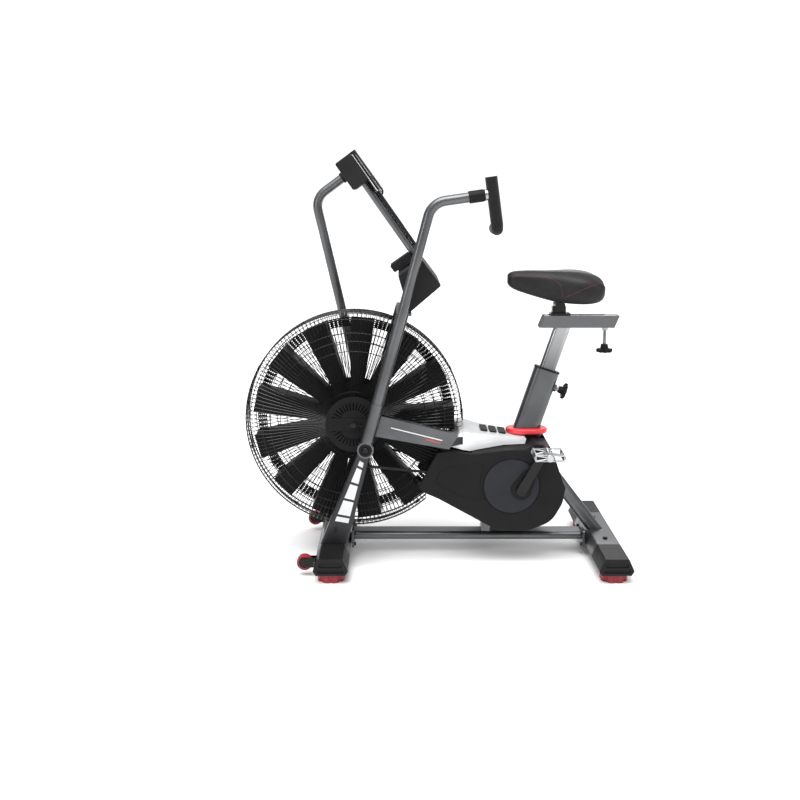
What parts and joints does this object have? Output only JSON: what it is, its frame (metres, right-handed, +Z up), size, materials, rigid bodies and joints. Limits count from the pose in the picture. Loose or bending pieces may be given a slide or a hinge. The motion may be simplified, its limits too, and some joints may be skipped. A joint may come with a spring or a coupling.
{
  "type": "air bike",
  "caption": "Stationary exercise bike with a caged fan wheel, swinging handle arms, pedals, and a saddle that adjusts in height and reach.",
  "frame": {"origin": "on the floor, below the middle of the bike's bounding box", "axes": "+Z up, +X to the rear of the bike, away from the fan, -Y to the rider's left"},
  "size_m": [1.2919, 0.68, 1.4023],
  "materials": {
    "frame_paint": "satin dark grey metallic",
    "shroud_plastic": "fine-grained matte black",
    "white_cover": "gloss white",
    "red_plastic": "satin red",
    "black_plastic": "matte black",
    "pad_rubber": "soft matte black",
    "cage_wire": "satin black",
    "fan_sheet": "satin black sheet steel",
    "bright_steel": "zinc plated",
    "aluminium": "machined",
    "bright_aluminium": "brushed",
    "belt_rubber": "matte",
    "crank_paint": "satin black",
    "rod_paint": "satin black",
    "clamp_paint": "satin black",
    "grip_foam": "fine foam",
    "saddle_cover": "matte black synthetic leather",
    "screen_glass": "gloss dark window",
    "wheel_rubber": "satin"
  },
  "bodies": {
    "frame": {"base_rail": "frame_paint", "collar_base": "black_plastic", "console_housing": "black_plastic", "console_screen": "screen_glass", "drive_belt": "belt_rubber", "fan_axle": "bright_steel", "frame_bolts": "bright_steel", "front_stabiliser": "frame_paint", "hub_covers": "black_plastic", "left_cage": "cage_wire", "left_shroud": "shroud_plastic", "left_upright": "frame_paint", "mast": "frame_paint", "mast_block": "black_plastic", "mast_cover": "black_plastic", "mast_strip": "black_plastic", "rail_brackets": "frame_paint", "rear_stabiliser": "frame_paint", "rear_strut": "frame_paint", "right_cage": "cage_wire", "right_shroud": "shroud_plastic", "right_upright": "frame_paint", "seat_bush": "black_plastic", "seat_collar": "red_plastic", "seat_frame": "frame_paint", "shroud_discs": "shroud_plastic", "side_beams": "frame_paint", "stabiliser_boots": "black_plastic", "step_pads": "pad_rubber", "top_cover": "white_cover", "wheel_forks": "bright_steel"},
    "fan": {"fan_blades": "fan_sheet", "fan_hub": "fan_sheet", "fan_pulley": "aluminium"},
    "crank": {"crank_axle": "bright_steel", "left_crank": "crank_paint", "right_crank": "crank_paint", "crank_pulley": "aluminium"},
    "seat": {"seat_post": "bright_aluminium", "saddle_rail": "bright_aluminium"},
    "carriage": {"saddle_clamp": "clamp_paint", "saddle": "saddle_cover"},
    "pop_pin": {"post_knob": "black_plastic"},
    "rail_screw": {"rail_knob": "black_plastic"},
    "start_key": {"start_button": "pad_rubber"},
    "mode_key": {"mode_button": "pad_rubber"},
    "left_handle_arm": {"left_handle": "frame_paint", "left_grip": "grip_foam"},
    "left_push_rod": {"left_rod": "rod_paint"},
    "left_foot_pedal": {"left_pedal": "aluminium"},
    "left_transport_wheel": {"left_wheel": "wheel_rubber"},
    "right_handle_arm": {"right_handle": "frame_paint", "right_grip": "grip_foam"},
    "right_push_rod": {"right_rod": "rod_paint"},
    "right_foot_pedal": {"right_pedal": "aluminium"},
    "right_transport_wheel": {"right_wheel": "wheel_rubber"},
    "front_left_foot": {"front_left_leveller": "red_plastic"},
    "front_right_foot": {"front_right_leveller": "red_plastic"},
    "rear_left_foot": {"rear_left_leveller": "red_plastic"},
    "rear_right_foot": {"rear_right_leveller": "red_plastic"}
  },
  "joints": [
    {"name": "crank_turn", "type": "hinge", "parent": "frame", "child": "crank", "pos_m": [0.295, 0, 0.266], "axis": [0, 1, 0], "continuous": true},
    {"name": "fan_spin", "type": "hinge", "parent": "frame", "child": "fan", "pos_m": [-0.272, 0, 0.485], "axis": [0, 1, 0], "continuous": true},
    {"name": "left_pedal_spin", "type": "hinge", "parent": "crank", "child": "left_foot_pedal", "pos_m": [0.37208, -0.226, 0.40621], "axis": [0, 1, 0], "continuous": true},
    {"name": "left_handle_swing", "type": "hinge", "parent": "frame", "child": "left_handle_arm", "pos_m": [-0.229, -0.165, 0.424], "axis": [0, 1, 0], "range_deg": [-28, 0]},
    {"name": "left_rod_pivot", "type": "hinge", "parent": "left_handle_arm", "child": "left_push_rod", "pos_m": [-0.25022, -0.137, 0.34479], "axis": [0, 1, 0], "range_deg": [0, 28]},
    {"name": "left_wheel_spin", "type": "hinge", "parent": "frame", "child": "left_transport_wheel", "pos_m": [-0.432, -0.25, 0.047], "axis": [0, 1, 0], "continuous": true},
    {"name": "right_pedal_spin", "type": "hinge", "parent": "crank", "child": "right_foot_pedal", "pos_m": [0.21792, 0.226, 0.12579], "axis": [0, 1, 0], "continuous": true},
    {"name": "right_handle_swing", "type": "hinge", "parent": "frame", "child": "right_handle_arm", "pos_m": [-0.229, 0.165, 0.424], "axis": [0, 1, 0], "range_deg": [0, 28]},
    {"name": "right_rod_pivot", "type": "hinge", "parent": "right_handle_arm", "child": "right_push_rod", "pos_m": [-0.21055, 0.137, 0.3441], "axis": [0, 1, 0], "range_deg": [-28, 0]},
    {"name": "right_wheel_spin", "type": "hinge", "parent": "frame", "child": "right_transport_wheel", "pos_m": [-0.432, 0.25, 0.047], "axis": [0, 1, 0], "continuous": true},
    {"name": "front_left_leveller_turn", "type": "hinge", "parent": "frame", "child": "front_left_foot", "pos_m": [-0.342, -0.284, 0.02], "axis": [0, 0, 1], "range_deg": [-360, 360]},
    {"name": "front_right_leveller_turn", "type": "hinge", "parent": "frame", "child": "front_right_foot", "pos_m": [-0.342, 0.284, 0.02], "axis": [0, 0, 1], "range_deg": [-360, 360]},
    {"name": "rear_left_leveller_turn", "type": "hinge", "parent": "frame", "child": "rear_left_foot", "pos_m": [0.589, -0.284, 0.02], "axis": [0, 0, 1], "range_deg": [-360, 360]},
    {"name": "rear_right_leveller_turn", "type": "hinge", "parent": "frame", "child": "rear_right_foot", "pos_m": [0.589, 0.284, 0.02], "axis": [0, 0, 1], "range_deg": [-360, 360]},
    {"name": "seat_height", "type": "slide", "parent": "frame", "child": "seat", "axis": [0.3123, 0, 0.95], "range_m": [-0.1, 0.1]},
    {"name": "saddle_reach", "type": "slide", "parent": "seat", "child": "carriage", "axis": [1, 0, 0], "range_m": [0, 0.11]},
    {"name": "rail_screw_turn", "type": "hinge", "parent": "seat", "child": "rail_screw", "pos_m": [0.585, 0, 0.76], "axis": [0, 0, 1], "range_deg": [-360, 360]},
    {"name": "pop_pin_pull", "type": "slide", "parent": "frame", "child": "pop_pin", "axis": [0.95, 0, -0.3123], "range_m": [0, 0.006], "stiffness_N_per_m": 1500, "springref_m": -0.004},
    {"name": "start_press", "type": "slide", "parent": "frame", "child": "start_key", "axis": [-0.8141, 0, -0.5807], "range_m": [0, 0.0015], "stiffness_N_per_m": 400, "springref_m": -0.0005},
    {"name": "mode_press", "type": "slide", "parent": "frame", "child": "mode_key", "axis": [-0.8141, 0, -0.5807], "range_m": [0, 0.0015], "stiffness_N_per_m": 400, "springref_m": -0.0005}
  ],
  "couplings": [
    {"joint": "fan_spin", "follows": "crank_turn", "ratio": 3},
    {"joint": "right_handle_swing", "follows": "left_handle_swing", "ratio": -1},
    {"joint": "left_rod_pivot", "follows": "left_handle_swing", "ratio": -1},
    {"joint": "right_rod_pivot", "follows": "left_handle_swing", "ratio": 1}
  ]
}
